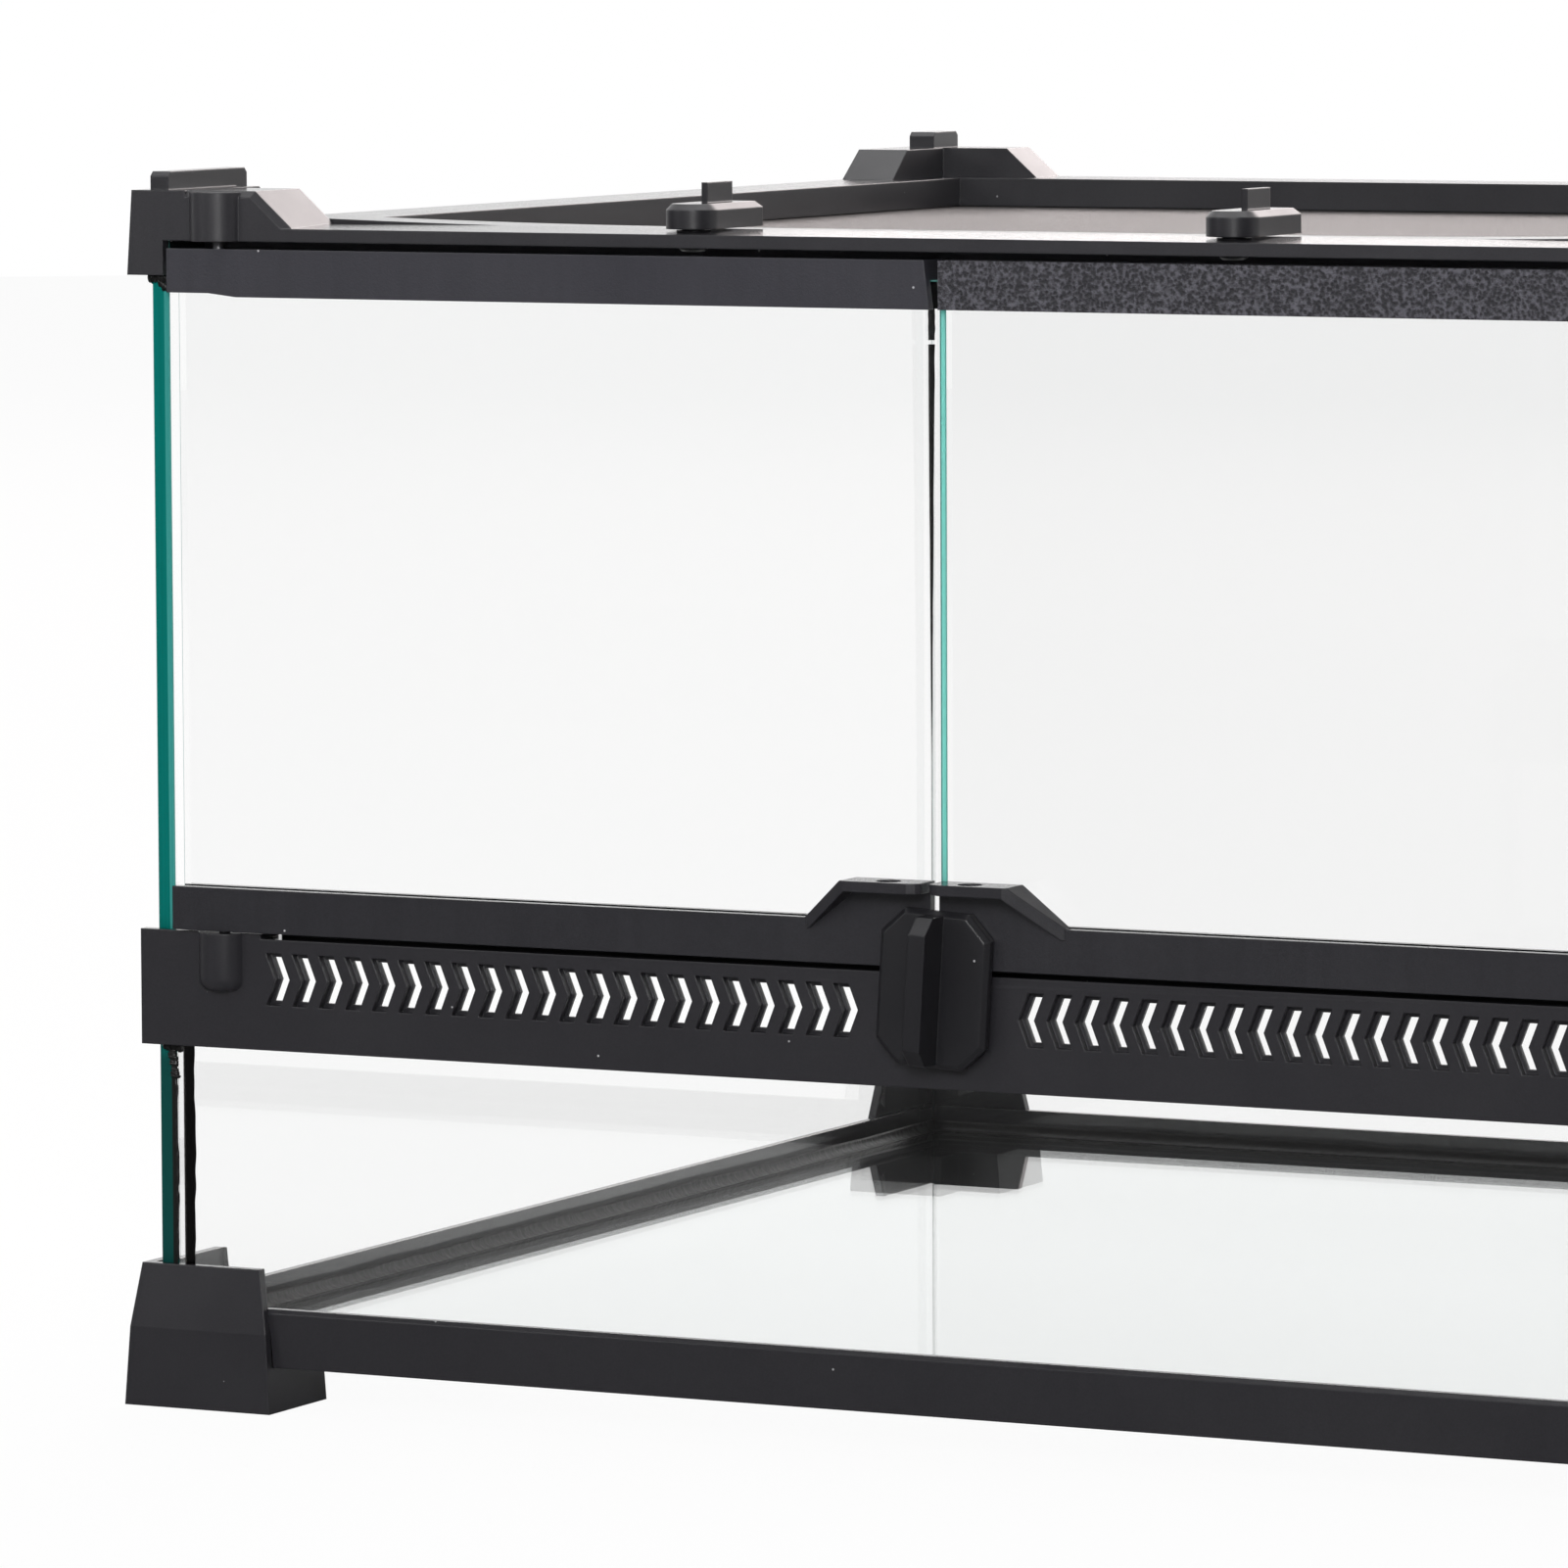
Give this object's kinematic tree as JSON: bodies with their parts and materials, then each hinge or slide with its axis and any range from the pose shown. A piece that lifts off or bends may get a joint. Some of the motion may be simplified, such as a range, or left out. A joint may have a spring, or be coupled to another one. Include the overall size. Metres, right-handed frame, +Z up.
{
  "type": "reptile terrarium",
  "caption": "Front-opening glass reptile terrarium with framed double doors, a slotted vent bar with a turning latch, a lift-out net lid with turn locks, corner feet and stacking ribs.",
  "frame": {"origin": "middle of the footprint, on the table under the feet", "axes": "+Z up, +Y towards the rear, so the doors face -Y; +X to the right as seen from the front"},
  "size_m": [0.4576, 0.4686, 0.3134],
  "materials": {
    "black_plastic": "fine textured moulded plastic",
    "pane_glass": "clear float glass",
    "black_silicone": "cured sealant, half gloss",
    "pin_steel": "drawn wire",
    "net_wire": "black coated woven wire"
  },
  "bodies": {
    "tank": {"foot_front_left": "black_plastic", "foot_front_right": "black_plastic", "foot_rear_left": "black_plastic", "foot_rear_right": "black_plastic", "bottom_rail_front": "black_plastic", "bottom_rail_rear": "black_plastic", "bottom_rail_left": "black_plastic", "bottom_rail_right": "black_plastic", "floor_glass": "pane_glass", "side_glass_left": "pane_glass", "side_glass_right": "pane_glass", "rear_glass": "pane_glass", "front_lower_glass": "pane_glass", "silicone_seams": "black_silicone", "vent_bar": "black_plastic", "top_frame": "black_plastic", "hinge_pins": "pin_steel"},
    "left_door": {"left_door_glass": "pane_glass", "left_door_top_trim": "black_plastic", "left_door_bottom_trim": "black_plastic"},
    "right_door": {"right_door_glass": "pane_glass", "right_door_top_trim": "black_plastic", "right_door_bottom_trim": "black_plastic"},
    "latch": {"latch_knob": "black_plastic", "latch_clip": "pin_steel"},
    "screen_lid": {"screen_frame": "black_plastic", "screen_net": "net_wire"},
    "lock_left": {"screen_lock_left": "black_plastic"},
    "lock_right": {"screen_lock_right": "black_plastic"}
  },
  "joints": [
    {"name": "left_door_hinge", "type": "hinge", "parent": "tank", "child": "left_door", "pos_m": [-0.2015, -0.21745, 0.208], "axis": [0, 0, -1], "range_deg": [0, 115]},
    {"name": "right_door_hinge", "type": "hinge", "parent": "tank", "child": "right_door", "pos_m": [0.2015, -0.21745, 0.208], "axis": [0, 0, 1], "range_deg": [0, 115]},
    {"name": "latch_turn", "type": "hinge", "parent": "tank", "child": "latch", "pos_m": [0, -0.22245, 0.1065], "axis": [0, 1, 0], "range_deg": [-93.5, 86.5]},
    {"name": "lid_lift", "type": "slide", "parent": "tank", "child": "screen_lid", "axis": [0, 0, 1], "range_m": [0, 0.2]},
    {"name": "lock_left_turn", "type": "hinge", "parent": "tank", "child": "lock_left", "pos_m": [-0.073, -0.20595, 0.3005], "axis": [0, 0, 1], "range_deg": [-90, 90]},
    {"name": "lock_right_turn", "type": "hinge", "parent": "tank", "child": "lock_right", "pos_m": [0.073, -0.20595, 0.3005], "axis": [0, 0, 1], "range_deg": [-90, 90]}
  ]
}
